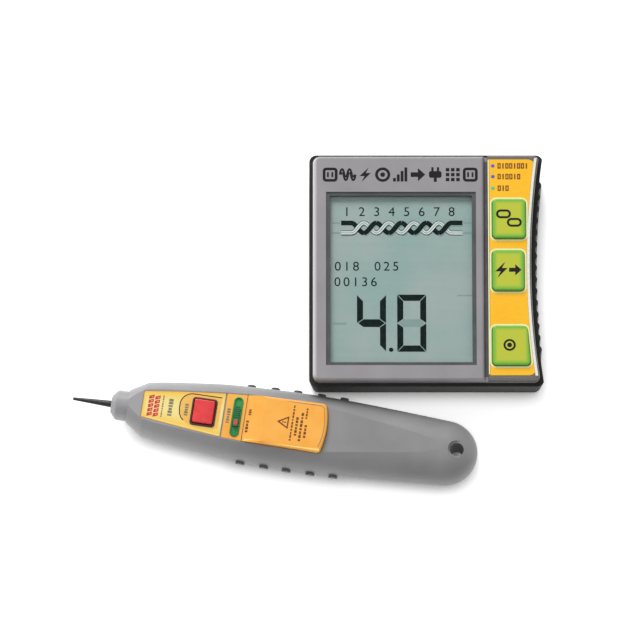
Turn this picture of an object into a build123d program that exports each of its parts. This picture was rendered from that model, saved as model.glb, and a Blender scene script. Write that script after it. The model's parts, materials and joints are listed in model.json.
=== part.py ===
"""Cable and breaker finder set: a receiver wand and a square display tester.

Both pieces lie flat on the bench, +Z up and z = 0 at the bench.  The origin is under
the middle of the set.  The wand points towards -X, its tail a little towards -Y, and
the tester stands behind it towards +Y.  All lengths are millimetres.
"""
import os
from math import cos, radians, sin

from build123d import *

# Layout on the bench
case_x, case_y = 63.565, 25.73
tip_x, tip_y = -126.835, -43.47
wand_yaw = -8.5

# Wand: distances run along its axis from its point, heights from the bench
wand_wall = 2.0
body_height = 13.0
body_drop = 1.6
nose_height = 14.5
facet_height = 23.5
wand_seam = 16.0
pocket_depth = 0.6
door_pocket_depth = 1.0
shoulder_start, body_start, tail_start = 30.5, 39.5, 203.0
shoulder_radius = 9.0
wand_sizes = [
    # distance, half width, half height
    (body_start, 14.8, 12.8),
    (49.0, 16.5, 13.2),
    (61.0, 18.0, 13.5),
    (79.0, 20.0, 14.1),
    (97.0, 20.9, 14.7),
    (124.0, 21.4, 14.8),
    (150.0, 20.9, 13.5),
    (176.0, 19.6, 12.7),
    (tail_start, 17.9, 12.0),
]
section_count = 25
cavity_start = 41.0
dome_set_back = 1.13

tip_length = 21.5
seal_seat = tip_length + 3.5
tip_radius = 1.9
tip_point_radius = 0.8
collar_radius = 8.1
spigot_radius = 6.4
spigot_end = 38.0
spigot_hole = (30.0, 49.0)
collar_rear = 30.45
antenna_foot = (38.1, 40.2, 3.4)
slip = 0.05

button_at = 71.6
button_size = (11.0, 13.0)
slot_at = 89.4
slot_size = (22.2, 4.9)
slider_travel = 4.0
stem_slot = (2.6, 2 * slider_travel + 3.2)
button_gap = 0.3
button_hole = (button_size[0] + 2 * button_gap, button_size[1] + 2 * button_gap)
door_start, door_end = 94.0, 138.3
door_top = 26.5
door_halves = (13.0, 13.6)
door_bow = 2.0
door_corner_radius = 2.5
door_opening = (97.0, 134.0)
door_opening_half = 12.2
gap = 0.3
lanyard_at = 208.6
lanyard_radius = 3.75
lanyard_top, lanyard_bottom = 21.6, 4.4
lanyard_flare = 1.0
rib_distances = (94.3, 107.2, 119.4, 132.3, 144.7)
rib_width = 4.6
rib_rise = 1.5
wand_board = (60.0, 94.0, 12.4, 14.0)
wand_post_places = [(63, 8), (63, -8), (91.5, 11), (91.5, -11)]
wand_post_radius = 1.8
wand_screw_places = [(154, 6), (154, -6), (186.5, 0)]
top_boss_radius, base_boss_radius = 3.2, 4.0
thread_radius, clearance_radius = 1.3, 1.5
screw_recess = 1.9
screw_head_radius, screw_head_height = 2.8, 2.0
screw_head_gap = 0.2
screw_shank_radius, screw_shank_length = 1.2, 15.5
cross_slot = (3.4, 0.8)
speaker_at = 172.0
speaker_height = 4.2
speaker_radius, speaker_seat_radius = 8.5, 7.2
sound_slot_pitch, sound_slot_width = 2.8, 1.3
aaa_radius = 5.25
aaa_length = 43.5
aaa_start = 98.8
aaa_height = 14.0
aaa_across = 5.6

# Tester: x and y from the middle of its case, heights from the bench
case_width = 126.2
case_length = 131.0
corner_radius = 4.0
waist_depth = 4.8
waist_radius = 447.0
end_taper = 4.0
side_taper = 1.5
case_wall = 2.0
rim_height = 24.0
face_height = 29.0
frame_height = 30.0
groove = (31.1, 32.9)
groove_floor = 26.0
window_middle = (-13.65, -6.0)
window_size = (80.7, 98.1)
glass_size = (76.4, 94.3)
module_bottom, module_top, lens_top = 21.4, 25.2, 26.2
bezel_height = 2.0
contact_strip_rows = (38.0, -50.0)
board_bottom, board_top = 18.2, 19.8
aa_radius = 7.1
aa_length = 50.0
aa_height = 9.8
aa_middle_y = -26.5
bay_half_width = 31.0
bay_ends = (-59.0, 1.0)
# left, right at the top, right at the bottom, top, bottom
keys = {
    "upper_key": (35.5, 53.3, 53.3, 38.1, 16.0),
    "middle_key": (35.3, 52.4, 52.4, 9.1, -13.6),
    "lower_key": (35.1, 53.9, 55.6, -33.6, -55.7),
}
led_x = 35.9
led_rows = {"network_led": 57.4, "phone_led": 51.3, "power_led": 44.7}
led_radius = 0.9
jack_x = -35.0
jack_size = (16.0, 18.0, 13.4)
jack_face = 62.6
jack_bottom = 4.6
grip_ends = (-46.0, 50.0)
grip_bottom, grip_top = 4.0, 23.0
grip_skin = 0.3
grip_root = 6.0
grip_rise = 1.3
grip_ribs = 15
grip_rib_radius = 2.8
grip_rib_margin = 1.5
key_window_middle, key_window_size = (46.2, -8.8), (25.6, 97.6)
key_window_inset = 4.1
key_corner = 2.2
key_gap = 0.35
key_flange = 0.9
key_top = 32.0
key_flange_bottom, key_flange_top = 24.5, 25.7
key_stem_bottom, key_stem_radius = 21.6, 2.2
cell_pitch = 15.2
label_left = 34.0
label_inset = 4.4
label_depth = 0.6
display_bay_right = 28.0
face_inset = 2.0
far_beyond = 200.0
tester_screw_places = [(-52.0, 53.0), (50.0, 53.0)]
tester_boss_radius, tester_top_boss_radius = 3.6, 2.8
tester_post_places, tester_post_radius = [(-52, -54), (52, -52)], 2.4
tester_head_hole = 2.6
bay_wall = 1.5
bay_wall_height = 12.0

wand_base = Plane(
    (tip_x, tip_y, 0),
    x_dir=(cos(radians(wand_yaw)), sin(radians(wand_yaw)), 0),
    z_dir=(0, 0, 1),
)


def deck(height):
    """Level plane over the wand: x along it from its point, y across it."""
    return wand_base.offset(height)


def station(distance, height):
    """Upright plane across the wand: x across it, y up, facing its tail."""
    start = wand_base.from_local_coords((distance, 0, height))
    return Plane(start, x_dir=wand_base.y_dir, z_dir=wand_base.x_dir)


def side(offset_across=0.0):
    """Upright plane along the wand: x along it from its point, y up from the bench."""
    start = wand_base.from_local_coords((0, offset_across, 0))
    return Plane(start, x_dir=wand_base.x_dir, z_dir=-wand_base.y_dir)


def bench(height):
    """Level plane over the tester, centred on its case."""
    return Plane((case_x, case_y, height))


def axis_height(distance):
    """Height of the wand's middle line, which sinks towards its tail."""
    return body_height - body_drop * (distance - body_start) / (tail_start - body_start)


def wand_form(grow=0.0, start=0.0):
    """Solid through the wand's oval sections behind start, grown all round by grow."""
    with BuildLine(mode=Mode.PRIVATE):
        size_line = Spline(*wand_sizes)
    with BuildPart(mode=Mode.PRIVATE) as form:
        for index in range(section_count):
            distance, half_width, half_height = size_line @ (index / (section_count - 1))
            if distance >= start:
                with BuildSketch(station(distance, axis_height(distance))):
                    Ellipse(half_width + grow, half_height + grow)
        loft()
    return form.part


def tail_dome():
    """Rounded tail: the end of a ball pressed flat to the last oval section."""
    half_width, half_height = wand_sizes[-1][1:]
    ball_radius = (half_width**2 + dome_set_back**2) ** 0.5
    middle = station(tail_start - dome_set_back, axis_height(tail_start))
    with BuildPart(middle, mode=Mode.PRIVATE) as dome:
        Sphere(ball_radius)
        scale(by=(1, 1, half_height / half_width), about=middle.origin)
        split(bisect_by=station(tail_start, 0), keep=Keep.TOP)
    return dome.part


def strip_outline(points):
    """Outline symmetrical about the wand's axis, from (distance, half width) points."""
    lower = [(distance, -half) for distance, half in reversed(points)]
    with BuildSketch(mode=Mode.PRIVATE) as outline:
        Polygon(*points, *lower, align=None)
    return outline.sketch


def door_outline(grow=0.0):
    """Plan of the wand's battery door: square front end, gently bowed rear end."""
    front, back = door_start - grow, door_end + grow
    half_front, half_back = door_halves[0] + grow, door_halves[1] + grow
    far_corner, near_corner = (back - door_bow, half_back), (back - door_bow, -half_back)
    with BuildSketch(mode=Mode.PRIVATE) as outline:
        with BuildLine() as edge:
            Polyline(far_corner, (front, half_front), (front, -half_front), near_corner)
            ThreePointArc(near_corner, (back, 0), far_corner)
        make_face(edge.edges())
        fillet(outline.vertices().group_by(Axis.X)[-1], door_corner_radius)
    return outline.sketch


def case_outline(inset=0.0, end_inset=0.0):
    """Plan of the tester's case, shrunk by inset, with its hollowed right side."""
    with BuildSketch(mode=Mode.PRIVATE) as outline:
        length = case_length - 2 * (inset + end_inset)
        RectangleRounded(case_width - 2 * inset, length, corner_radius)
        with Locations((case_width / 2 - waist_depth + waist_radius, 0)):
            Circle(waist_radius + inset, mode=Mode.SUBTRACT)
    return outline.sketch


def case_form(inset=0.0, floor=0.0):
    """Tapered tub of the tester's case from floor up to its rim."""
    with BuildPart(mode=Mode.PRIVATE) as form:
        for height in (floor, rim_height):
            depth_share = 1 - height / rim_height
            with BuildSketch(bench(height)):
                add(case_outline(inset + side_taper * depth_share, (end_taper - side_taper) * depth_share))
        loft(ruled=True)
    return form.part


def key_outline(name, grow=0.0):
    """Rounded outline of one key, grown all round by grow."""
    left, right_top, right_bottom, top, bottom = keys[name]
    with BuildSketch(mode=Mode.PRIVATE) as outline:
        Polygon((left, top), (right_top, top), (right_bottom, bottom), (left, bottom), align=None)
        fillet(outline.vertices(), key_corner)
        if grow:
            offset(amount=grow)
    return outline.sketch


def key_middle(name):
    """Middle of a key, where its stem and its dome are."""
    left, right_top, right_bottom, top, bottom = keys[name]
    return (2 * left + right_top + right_bottom) / 4, (top + bottom) / 2


os.makedirs("parts", exist_ok=True)

# ---------------------------------------------------------------- wand: shells

control_label_points = [(38.6, 7.2), (60.0, 10.0), (82.0, 12.2)]
switch_plate_points = [(82.9, 12.3), (93.6, 12.9)]

with BuildPart() as nose_shoulder:
    with BuildSketch(station(shoulder_start, nose_height)):
        Circle(shoulder_radius)
    with BuildSketch(station(body_start, body_height)):
        Ellipse(*wand_sizes[0][1:])
    loft(ruled=True)

with BuildPart() as wand_solid:
    add(nose_shoulder.part)
    add(wand_form())
    add(tail_dome())
    split(bisect_by=deck(facet_height), keep=Keep.BOTTOM)
    split(bisect_by=deck(0), keep=Keep.TOP)

with BuildPart() as wand_cavity:
    add(wand_form(grow=-wand_wall, start=cavity_start))
    split(bisect_by=deck(facet_height - wand_wall), keep=Keep.BOTTOM)
    split(bisect_by=deck(wand_wall), keep=Keep.TOP)

# Grip ribs stand in grooves moulded round both flanks of the wand's base
with BuildPart() as rib_ring:
    add(wand_form(grow=rib_rise, start=61.0))
    add(wand_form(grow=-pocket_depth, start=61.0), mode=Mode.SUBTRACT)

with BuildPart() as rib_slots:
    with BuildSketch(side(25)):
        for distance in rib_distances:
            with Locations((distance, 7.4)):
                SlotCenterToCenter(6.8, rib_width, rotation=90)
    extrude(amount=50)

for rib_side, rib_name in ((1, "far_grip_ribs"), (-1, "near_grip_ribs")):
    with BuildPart() as grip_rib_set:
        add(rib_ring.part)
        add(rib_slots.part, mode=Mode.INTERSECT)
        split(bisect_by=side(), keep=Keep.BOTTOM if rib_side > 0 else Keep.TOP)
    grip_rib_set.part.label = rib_name
    export_step(grip_rib_set.part, f"parts/{rib_name}.step")

with BuildPart() as wand_shells:
    add(wand_solid.part)
    add(wand_cavity.part, mode=Mode.SUBTRACT)
    with BuildSketch(station(spigot_hole[0], nose_height)):
        Circle(spigot_radius + slip)
    extrude(amount=spigot_hole[1] - spigot_hole[0], mode=Mode.SUBTRACT)
    with BuildSketch(deck(0)):
        with Locations((lanyard_at, 0)):
            Circle(lanyard_radius)
    extrude(amount=facet_height + 1, mode=Mode.SUBTRACT)
    with BuildSketch(deck(lanyard_top)):
        with Locations((lanyard_at, 0)):
            Circle(lanyard_radius + lanyard_flare)
    extrude(amount=5, mode=Mode.SUBTRACT)
    with BuildSketch(deck(0)):
        with Locations((lanyard_at, 0)):
            Circle(lanyard_radius + lanyard_flare)
    extrude(amount=lanyard_bottom, mode=Mode.SUBTRACT)

with BuildPart() as probe_top_shell:
    add(wand_shells.part)
    split(bisect_by=deck(wand_seam), keep=Keep.TOP)
    with BuildSketch(deck(wand_seam)):
        with Locations(*wand_screw_places):
            Circle(top_boss_radius)
    extrude(amount=facet_height - wand_wall / 2 - wand_seam)
    with BuildSketch(deck(wand_seam)):
        with Locations(*wand_screw_places):
            Circle(thread_radius)
    extrude(amount=4, mode=Mode.SUBTRACT)
    with BuildSketch(deck(facet_height - pocket_depth)):
        add(strip_outline([(38.3, 7.4), (60.0, 10.2), (82.0, 12.4), (93.85, 13.1)]))
    extrude(amount=2, mode=Mode.SUBTRACT)
    with BuildSketch(deck(facet_height - door_pocket_depth)):
        add(door_outline(gap + slip))
    extrude(amount=5, mode=Mode.SUBTRACT)
    with BuildSketch(deck(wand_seam)):
        with Locations(((door_opening[0] + door_opening[1]) / 2, 0)):
            Rectangle(door_opening[1] - door_opening[0], 2 * door_opening_half)
        with Locations((button_at, 0)):
            RectangleRounded(*button_hole, 1.2)
        with Locations((slot_at, 0)):
            Rectangle(*stem_slot)
    extrude(amount=10, mode=Mode.SUBTRACT)
probe_top_shell.part.label = "probe_top_shell"
export_step(probe_top_shell.part, "parts/probe_top_shell.step")

with BuildPart() as probe_base_shell:
    add(wand_shells.part)
    split(bisect_by=deck(wand_seam), keep=Keep.BOTTOM)
    # screw bosses, posts under the circuit board
    with BuildSketch(deck(wand_wall / 2)):
        with Locations(*wand_screw_places):
            Circle(base_boss_radius)
    extrude(amount=wand_seam - wand_wall / 2)
    with BuildSketch(deck(wand_wall / 2)):
        with Locations(*wand_post_places):
            Circle(wand_post_radius)
    extrude(amount=wand_board[2] - wand_wall / 2)
    with BuildSketch(deck(0)):
        with Locations(*wand_screw_places):
            Circle(clearance_radius)
    extrude(amount=wand_seam, mode=Mode.SUBTRACT)
    with BuildSketch(deck(0)):
        with Locations(*wand_screw_places):
            Circle(screw_head_radius + screw_head_gap)
    extrude(amount=screw_recess + screw_head_height + 0.1, mode=Mode.SUBTRACT)
    # seat and sound slots for the loudspeaker
    with BuildSketch(deck(wand_wall / 2)):
        with Locations((speaker_at, 0)):
            Circle(speaker_radius + 0.1)
            Circle(speaker_seat_radius, mode=Mode.SUBTRACT)
    extrude(amount=speaker_height - wand_wall / 2)
    with BuildSketch(deck(0)):
        for step in range(-2, 3):
            with Locations((speaker_at + sound_slot_pitch * step, 0)):
                SlotOverall(12 - 1.8 * abs(step), sound_slot_width, rotation=90)
    extrude(amount=speaker_height, mode=Mode.SUBTRACT)
    # grooves for the grip ribs
    add(rib_slots.part & rib_ring.part, mode=Mode.SUBTRACT)
probe_base_shell.part.label = "probe_base_shell"
export_step(probe_base_shell.part, "parts/probe_base_shell.step")

# ---------------------------------------------------------------- wand: nose

foot_start, foot_end, foot_radius = antenna_foot
with BuildPart() as antenna_tip:
    with BuildSketch(side()):
        with BuildLine():
            Polyline(
                (0.5, nose_height), (0.5, nose_height + tip_point_radius),
                (tip_length, nose_height + tip_radius), (foot_start, nose_height + tip_radius),
                (foot_start, nose_height + foot_radius), (foot_end, nose_height + foot_radius),
                (foot_end, nose_height),
                close=True,
            )
        make_face()
    revolve(axis=Axis(station(0, nose_height).origin, wand_base.x_dir))
    fillet(antenna_tip.edges().filter_by(GeomType.CIRCLE).sort_by(SortBy.RADIUS)[0], 0.75)
antenna_tip.part.label = "antenna_tip"
export_step(antenna_tip.part, "parts/antenna_tip.step")

with BuildPart() as nose_collar:
    with BuildSketch(side()):
        with BuildLine():
            Polyline(
                (tip_length, nose_height + 3.0), (tip_length, nose_height + 4.6),
                (tip_length + 2.6, nose_height + collar_radius - 0.4),
                (tip_length + 3.6, nose_height + collar_radius),
                (collar_rear, nose_height + collar_radius), (collar_rear, nose_height + spigot_radius),
                (spigot_end, nose_height + spigot_radius), (spigot_end, nose_height + tip_radius + slip),
                (seal_seat, nose_height + tip_radius + slip), (seal_seat, nose_height + 3.0),
                close=True,
            )
        make_face()
    revolve(axis=Axis(station(0, nose_height).origin, wand_base.x_dir))
nose_collar.part.label = "nose_collar"
export_step(nose_collar.part, "parts/nose_collar.step")

with BuildPart() as tip_seal:
    with BuildSketch(station(tip_length + 0.2, nose_height)):
        Circle(2.95)
        Circle(tip_radius + slip, mode=Mode.SUBTRACT)
    extrude(amount=3.2)
    chamfer(tip_seal.edges().filter_by(GeomType.CIRCLE).sort_by(SortBy.RADIUS)[-1], 0.5)
tip_seal.part.label = "tip_seal"
export_step(tip_seal.part, "parts/tip_seal.step")

with BuildPart() as ferrite_core:
    with BuildSketch(station(42.5, nose_height)):
        Circle(3.8)
    extrude(amount=15)
    chamfer(ferrite_core.edges(), 0.4)
ferrite_core.part.label = "ferrite_core"
export_step(ferrite_core.part, "parts/ferrite_core.step")

# ---------------------------------------------------------------- wand: controls

with BuildPart() as control_label:
    with BuildSketch(deck(facet_height - pocket_depth)):
        add(strip_outline(control_label_points))
        with Locations((button_at, 0)):
            RectangleRounded(13.6, 15.8, 1.8, mode=Mode.SUBTRACT)
    extrude(amount=pocket_depth)
control_label.part.label = "control_label"
export_step(control_label.part, "parts/control_label.step")

with BuildPart() as button_bezel:
    with BuildSketch(deck(facet_height - pocket_depth)):
        with Locations((button_at, 0)):
            RectangleRounded(13.4, 15.6, 1.7)
            RectangleRounded(*button_hole, 1.2, mode=Mode.SUBTRACT)
    extrude(amount=1.2)
    chamfer(button_bezel.faces().sort_by(Axis.Z)[-1].edges(), 0.25)
button_bezel.part.label = "button_bezel"
export_step(button_bezel.part, "parts/button_bezel.step")

with BuildPart() as power_button:
    with BuildSketch(deck(19.8)):
        with Locations((button_at, 0)):
            RectangleRounded(12.6, 14.6, 1.4)
    extrude(amount=1.3)
    with BuildSketch(deck(21.0)):
        with Locations((button_at, 0)):
            RectangleRounded(button_size[0], button_size[1], 1.0)
    extrude(amount=4.6)
    fillet(power_button.faces().sort_by(Axis.Z)[-1].edges(), 0.8)
power_button.part.label = "power_button"
export_step(power_button.part, "parts/power_button.step")

with BuildPart() as switch_plate:
    with BuildSketch(deck(facet_height - pocket_depth)):
        add(strip_outline(switch_plate_points))
        with Locations((slot_at, 0)):
            SlotOverall(slot_size[0] + 0.2, slot_size[1] + 0.2, rotation=90, mode=Mode.SUBTRACT)
    extrude(amount=pocket_depth)
switch_plate.part.label = "switch_plate"
export_step(switch_plate.part, "parts/switch_plate.step")

with BuildPart() as slot_bezel:
    with BuildSketch(deck(facet_height - pocket_depth)):
        with Locations((slot_at, 0)):
            SlotOverall(slot_size[0], slot_size[1], rotation=90)
    extrude(amount=1.4)
    chamfer(slot_bezel.faces().sort_by(Axis.Z)[-1].edges(), 0.3)
    with BuildSketch(deck(facet_height - pocket_depth + 0.4)):
        with Locations((slot_at, 0)):
            SlotOverall(slot_size[0] - 1.2, slot_size[1] - 1.3, rotation=90)
    extrude(amount=2, mode=Mode.SUBTRACT)
    with BuildSketch(deck(facet_height - pocket_depth)):
        with Locations((slot_at, 0)):
            Rectangle(*stem_slot)
    extrude(amount=1, mode=Mode.SUBTRACT)
slot_bezel.part.label = "slot_bezel"
export_step(slot_bezel.part, "parts/slot_bezel.step")

with BuildPart() as slider_knob:
    with BuildSketch(deck(facet_height + 0.1)):
        with Locations((slot_at, 0)):
            RectangleRounded(2.8, 11.4, 1.0)
    extrude(amount=1.5)
    with BuildSketch(deck(facet_height + 0.9)):
        with Locations((slot_at, -3.5)):
            RectangleRounded(1.9, 2.9, 0.4)
    extrude(amount=2, mode=Mode.SUBTRACT)
    with BuildSketch(deck(facet_height + 1.2)):
        for step in range(6):
            with Locations((slot_at, -0.8 + 1.15 * step)):
                Rectangle(4, 0.45)
    extrude(amount=2, mode=Mode.SUBTRACT)
    with BuildSketch(deck(16.8)):
        with Locations((slot_at, 0)):
            Rectangle(1.9, 2.4)
    extrude(amount=facet_height + 0.2 - 16.8)
slider_knob.part.label = "slider_knob"
export_step(slider_knob.part, "parts/slider_knob.step")

with BuildPart() as slider_index:
    with BuildSketch(deck(facet_height + 0.9)):
        with Locations((slot_at, -3.5)):
            RectangleRounded(1.8, 2.8, 0.35)
    extrude(amount=0.85)
slider_index.part.label = "slider_index"
export_step(slider_index.part, "parts/slider_index.step")

with BuildPart() as probe_battery_door:
    with BuildSketch(side()):
        with BuildLine():
            Polyline(
                (door_start - 1, facet_height - door_pocket_depth + 0.05),
                (door_start - 1, facet_height + 0.1), (door_start + 1, facet_height + 0.3),
                (door_start + 10, door_top), (door_end + 1, door_top),
                (door_end + 1, facet_height - door_pocket_depth + 0.05), close=True,
            )
        make_face()
    extrude(amount=16, both=True)
    with BuildSketch(deck(facet_height - 3)):
        add(door_outline())
    extrude(amount=10, mode=Mode.INTERSECT)
    fillet(probe_battery_door.faces().sort_by(Axis.Z)[-1].edges(), 1.2)
    with BuildSketch(deck(facet_height - wand_wall + 0.3)):
        with Locations(((door_opening[0] + door_opening[1]) / 2, 0)):
            Rectangle(door_opening[1] - door_opening[0] - 2 * gap, 2 * (door_opening_half - gap))
    extrude(amount=1.2)
    with BuildSketch(deck(facet_height - wand_wall + 0.3)):
        with Locations(((door_opening[0] + door_opening[1]) / 2 + 2, 0)):
            Rectangle(door_opening[1] - door_opening[0] - 8, 2 * (door_opening_half - 2))
    extrude(amount=2.6, mode=Mode.SUBTRACT)
probe_battery_door.part.label = "probe_battery_door"
export_step(probe_battery_door.part, "parts/probe_battery_door.step")

# ---------------------------------------------------------------- wand: inside

board_start, board_end, board_low, board_high = wand_board
with BuildPart() as probe_circuit_board:
    with BuildSketch(deck(board_low)):
        with Locations(((board_start + board_end) / 2, 0)):
            RectangleRounded(board_end - board_start, 26, 1.0)
    extrude(amount=board_high - board_low)
probe_circuit_board.part.label = "probe_circuit_board"
export_step(probe_circuit_board.part, "parts/probe_circuit_board.step")

with BuildPart() as tact_switch:
    with BuildSketch(deck(board_high)):
        with Locations((button_at, 0)):
            RectangleRounded(6, 6, 0.4)
    extrude(amount=3.2)
    with BuildSketch(deck(board_high + 3.2)):
        with Locations((button_at, 0)):
            Circle(1.7)
    extrude(amount=0.8)
tact_switch.part.label = "tact_switch"
export_step(tact_switch.part, "parts/tact_switch.step")

with BuildPart() as slide_switch:
    with BuildSketch(deck(board_high)):
        with Locations((slot_at, 0)):
            Rectangle(6.4, 16)
    extrude(amount=4.6)
    with BuildSketch(deck(board_high + 2.2)):
        with Locations((slot_at, 0)):
            Rectangle(*stem_slot)
    extrude(amount=3, mode=Mode.SUBTRACT)
slide_switch.part.label = "slide_switch"
export_step(slide_switch.part, "parts/slide_switch.step")

with BuildPart() as probe_chips:
    with BuildSketch(deck(board_high)):
        with Locations((64.2, 5.5), (64.2, -5.5)):
            Rectangle(4, 5)
        with Locations((80, 0)):
            Rectangle(7, 10)
    extrude(amount=1.4)
probe_chips.part.label = "probe_chips"
export_step(probe_chips.part, "parts/probe_chips.step")

with BuildPart() as battery_cradle:
    with BuildSketch(deck(wand_wall + 0.1)):
        with Locations((120.5, 0)):
            Rectangle(38, 17)
    extrude(amount=8.9)
    with BuildSketch(station(90, aaa_height)):
        with Locations((aaa_across, 0), (-aaa_across, 0)):
            Circle(aaa_radius + 0.1)
    extrude(amount=60, mode=Mode.SUBTRACT)
battery_cradle.part.label = "battery_cradle"
export_step(battery_cradle.part, "parts/battery_cradle.step")

for number, across in enumerate((aaa_across, -aaa_across), start=1):
    with BuildPart() as aaa_cell:
        with BuildSketch(station(aaa_start, aaa_height)):
            with Locations((across, 0)):
                Circle(aaa_radius)
        extrude(amount=aaa_length)
        fillet(aaa_cell.edges(), 0.5)
        nub_start = aaa_start + aaa_length if number == 1 else aaa_start - 1
        with BuildSketch(station(nub_start, aaa_height)):
            with Locations((across, 0)):
                Circle(1.9)
        extrude(amount=1)
    aaa_cell.part.label = f"aaa_cell_{number}"
    export_step(aaa_cell.part, f"parts/aaa_cell_{number}.step")

with BuildPart() as cell_contacts:
    for distance in (aaa_start - 1.6, aaa_start + aaa_length + 1.05):
        with BuildSketch(station(distance, aaa_height)):
            RectangleRounded(20, 8.4, 1.0)
        extrude(amount=0.5)
cell_contacts.part.label = "cell_contacts"
export_step(cell_contacts.part, "parts/cell_contacts.step")

with BuildPart() as loudspeaker:
    with BuildSketch(deck(speaker_height)):
        with Locations((speaker_at, 0)):
            Circle(speaker_radius)
    extrude(amount=2.4)
    with BuildSketch(deck(speaker_height + 2.4)):
        with Locations((speaker_at, 0)):
            Circle(5.5)
    extrude(amount=3.2)
loudspeaker.part.label = "loudspeaker"
export_step(loudspeaker.part, "parts/loudspeaker.step")

with BuildPart() as probe_screws:
    with BuildSketch(deck(screw_recess)):
        with Locations(*wand_screw_places):
            Circle(screw_head_radius)
    extrude(amount=screw_head_height)
    with BuildSketch(deck(screw_recess + screw_head_height)):
        with Locations(*wand_screw_places):
            Circle(screw_shank_radius)
    extrude(amount=screw_shank_length)
    with BuildSketch(deck(screw_recess)):
        with Locations(*wand_screw_places):
            Rectangle(*cross_slot)
            Rectangle(*cross_slot[::-1])
    extrude(amount=1.0, mode=Mode.SUBTRACT)
probe_screws.part.label = "probe_screws"
export_step(probe_screws.part, "parts/probe_screws.step")

# ---------------------------------------------------------------- tester: shells

bay_middle = (bay_ends[0] + bay_ends[1]) / 2
bay_length = bay_ends[1] - bay_ends[0]
with BuildPart() as rear_case:
    add(case_form())
    fillet(rear_case.faces().sort_by(Axis.Z)[0].edges(), 2.5)
    add(case_form(inset=case_wall, floor=case_wall), mode=Mode.SUBTRACT)
    with BuildSketch(bench(case_wall / 2)):
        with Locations(*tester_screw_places):
            Circle(tester_boss_radius)
    extrude(amount=board_bottom - case_wall / 2)
    with BuildSketch(bench(case_wall / 2)):
        with Locations(*tester_post_places):
            Circle(tester_post_radius)
    extrude(amount=board_bottom - case_wall / 2)
    # walls round the four cells
    with BuildSketch(bench(case_wall / 2)):
        with Locations((0, aa_middle_y)):
            Rectangle(63 + 2 * bay_wall, aa_length + 5 + 2 * bay_wall)
            Rectangle(63, aa_length + 5, mode=Mode.SUBTRACT)
    extrude(amount=bay_wall_height)
    with BuildSketch(bench(0)):
        with Locations(*tester_screw_places):
            Circle(clearance_radius)
    extrude(amount=board_bottom, mode=Mode.SUBTRACT)
    with BuildSketch(bench(0)):
        with Locations(*tester_screw_places):
            Circle(tester_head_hole)
    extrude(amount=tester_head_hole, mode=Mode.SUBTRACT)
    # opening for the battery door, out through the near edge
    with BuildSketch(bench(0)):
        with Locations((0, (bay_ends[1] + gap - 70) / 2)):
            Rectangle(2 * bay_half_width, bay_ends[1] + gap + 70)
    extrude(amount=case_wall, mode=Mode.SUBTRACT)
    # mouth for the network jack in the far wall
    with BuildSketch(bench(jack_bottom - 0.2)):
        with Locations((jack_x, 60)):
            Rectangle(jack_size[0] + 0.4, 20)
    extrude(amount=jack_size[2] + 0.4, mode=Mode.SUBTRACT)
rear_case.part.label = "rear_case"
export_step(rear_case.part, "parts/rear_case.step")

with BuildPart() as side_grip:
    with BuildSketch(bench(grip_bottom)):
        add(case_outline(-grip_skin))
        add(case_outline(grip_root), mode=Mode.SUBTRACT)
        with Locations((case_width / 2, (grip_ends[0] + grip_ends[1]) / 2)):
            Rectangle(case_width / 2, grip_ends[1] - grip_ends[0], mode=Mode.INTERSECT)
        pitch = (grip_ends[1] - grip_ends[0] - 2 * grip_rib_margin) / (grip_ribs - 1)
        for index in range(grip_ribs):
            rib_y = grip_ends[0] + grip_rib_margin + pitch * index
            rib_x = case_width / 2 - waist_depth + rib_y**2 / (2 * waist_radius)
            with Locations((rib_x + grip_rise - grip_rib_radius, rib_y)):
                Circle(grip_rib_radius)
    extrude(amount=grip_top - grip_bottom)
    add(case_form(), mode=Mode.SUBTRACT)
side_grip.part.label = "side_grip"
export_step(side_grip.part, "parts/side_grip.step")

with BuildPart() as front_shell:
    # face block on the left, lower deck on the right under the key frame
    with BuildSketch(bench(rim_height)):
        add(case_outline(face_inset))
        with Locations((groove[0] - far_beyond / 2, 0)):
            Rectangle(far_beyond, far_beyond, mode=Mode.INTERSECT)
    extrude(amount=face_height - rim_height)
    fillet(front_shell.faces().sort_by(Axis.Z)[-1].edges(), 1.6)
    with BuildSketch(bench(rim_height)):
        add(case_outline(face_inset))
    extrude(amount=groove_floor - rim_height)
    with BuildSketch(bench(21)):
        add(case_outline(2.8))
    extrude(amount=3)
    with BuildSketch(bench(20)):
        add(case_outline(4.4))
        with Locations((display_bay_right - far_beyond / 2, 0)):
            Rectangle(far_beyond, far_beyond, mode=Mode.INTERSECT)
    extrude(amount=7, mode=Mode.SUBTRACT)
    with BuildSketch(bench(20)):
        add(case_outline(4.4))
    extrude(amount=4, mode=Mode.SUBTRACT)
    with BuildSketch(bench(board_bottom)):
        with Locations(*tester_screw_places):
            Circle(tester_top_boss_radius)
    extrude(amount=rim_height + 1 - board_bottom)
    with BuildSketch(bench(24)):
        with Locations(tester_screw_places[0]):
            Circle(tester_top_boss_radius)
    extrude(amount=3.5)
    with BuildSketch(bench(board_bottom)):
        with Locations(*tester_screw_places):
            Circle(thread_radius)
    extrude(amount=6, mode=Mode.SUBTRACT)
    # window for the display, one opening for the keys, holes for the lamps
    with BuildSketch(bench(20)):
        with Locations(window_middle):
            Rectangle(*window_size)
        with Locations(key_window_middle):
            RectangleRounded(*key_window_size, 2)
        add(case_outline(key_window_inset), mode=Mode.INTERSECT)
        for led_y in led_rows.values():
            with Locations((led_x, led_y)):
                Circle(led_radius + 0.6)
    extrude(amount=12, mode=Mode.SUBTRACT)
front_shell.part.label = "front_shell"
export_step(front_shell.part, "parts/front_shell.step")

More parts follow.
